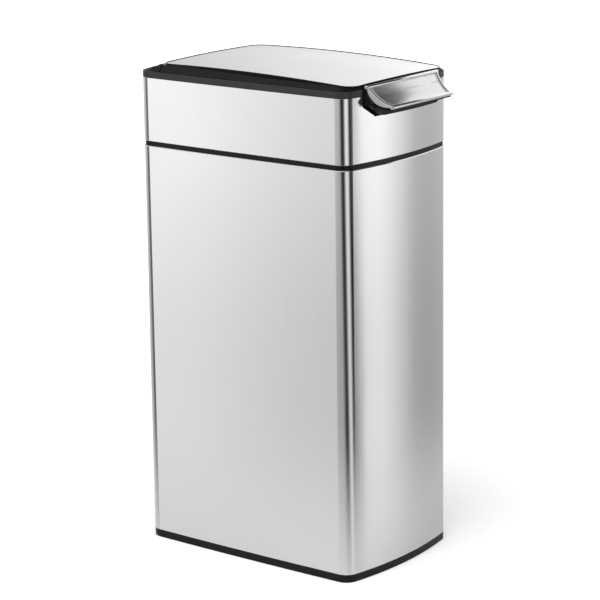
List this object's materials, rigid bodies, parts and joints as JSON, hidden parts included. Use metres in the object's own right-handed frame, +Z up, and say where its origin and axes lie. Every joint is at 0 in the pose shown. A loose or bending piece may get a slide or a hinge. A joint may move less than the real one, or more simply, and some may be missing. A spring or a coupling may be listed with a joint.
{
  "type": "touch bar kitchen waste bin",
  "caption": "Slim floor-standing kitchen bin: steel body with an inner bucket, hinged steel collar, domed steel lid, and a curved touch bar that works the lid latch.",
  "frame": {"origin": "middle of the base, on the floor", "axes": "+X to the right as seen from the front, +Y to the rear where the hinges are, +Z up; the touch bar faces -Y"},
  "size_m": [0.23, 0.3944, 0.6541],
  "materials": {
    "steel": "brushed",
    "bright_steel": "plain, zinc plated",
    "black_plastic": "fine texture",
    "bucket_plastic": "satin",
    "rubber": "matt",
    "spring_steel": "drawn wire"
  },
  "bodies": {
    "body": {"base_plinth": "black_plastic", "base_feet": "rubber", "body_shell": "steel", "seam_ring": "black_plastic", "inner_bucket": "bucket_plastic", "body_hinge_leaf": "bright_steel", "rear_hinge_pin": "bright_steel", "body_hinge_screws": "bright_steel"},
    "collar": {"collar_shell": "steel", "collar_frame": "black_plastic", "collar_chute": "black_plastic", "collar_floor": "black_plastic", "collar_hinge_leaf": "bright_steel", "collar_hinge_screws": "bright_steel", "hinge_cover": "black_plastic", "cover_screws": "bright_steel", "lid_hinge_rod": "bright_steel", "lid_spring": "spring_steel", "lid_bumpers": "rubber", "latch_housing": "black_plastic", "housing_screws": "bright_steel", "bar_pin": "bright_steel", "hook_pin": "bright_steel", "bar_springs": "spring_steel", "latch_spring": "spring_steel"},
    "lid": {"lid_panel": "steel", "lid_frame": "black_plastic", "lid_liner": "black_plastic", "lid_strike": "bright_steel", "liner_screws": "bright_steel"},
    "touch_bar": {"touch_bar": "steel", "bar_carrier": "black_plastic", "bar_screws": "bright_steel"},
    "latch": {"latch_hook": "black_plastic"}
  },
  "joints": [
    {"name": "collar_hinge", "type": "hinge", "parent": "body", "child": "collar", "pos_m": [0, 0.183, 0.54815], "axis": [-1, 0, 0], "range_deg": [0, 75]},
    {"name": "lid_hinge", "type": "hinge", "parent": "collar", "child": "lid", "pos_m": [0, 0.1405, 0.6434], "axis": [-1, 0, 0], "range_deg": [0, 80], "deforming": ["lid_spring"]},
    {"name": "bar_rock", "type": "hinge", "parent": "collar", "child": "touch_bar", "pos_m": [0, -0.162, 0.616], "axis": [1, 0, 0], "range_deg": [0, 5], "stiffness_Nm_per_rad": 2.5, "springref_deg": -5.73, "deforming": ["bar_springs"]},
    {"name": "hook_turn", "type": "hinge", "parent": "collar", "child": "latch", "pos_m": [0, -0.146, 0.612], "axis": [1, 0, 0], "range_deg": [-8.5, 0], "stiffness_Nm_per_rad": 0.05, "springref_deg": 5.73, "deforming": ["latch_spring"]}
  ],
  "couplings": [
    {"joint": "hook_turn", "follows": "bar_rock", "ratio": -1.6667}
  ]
}
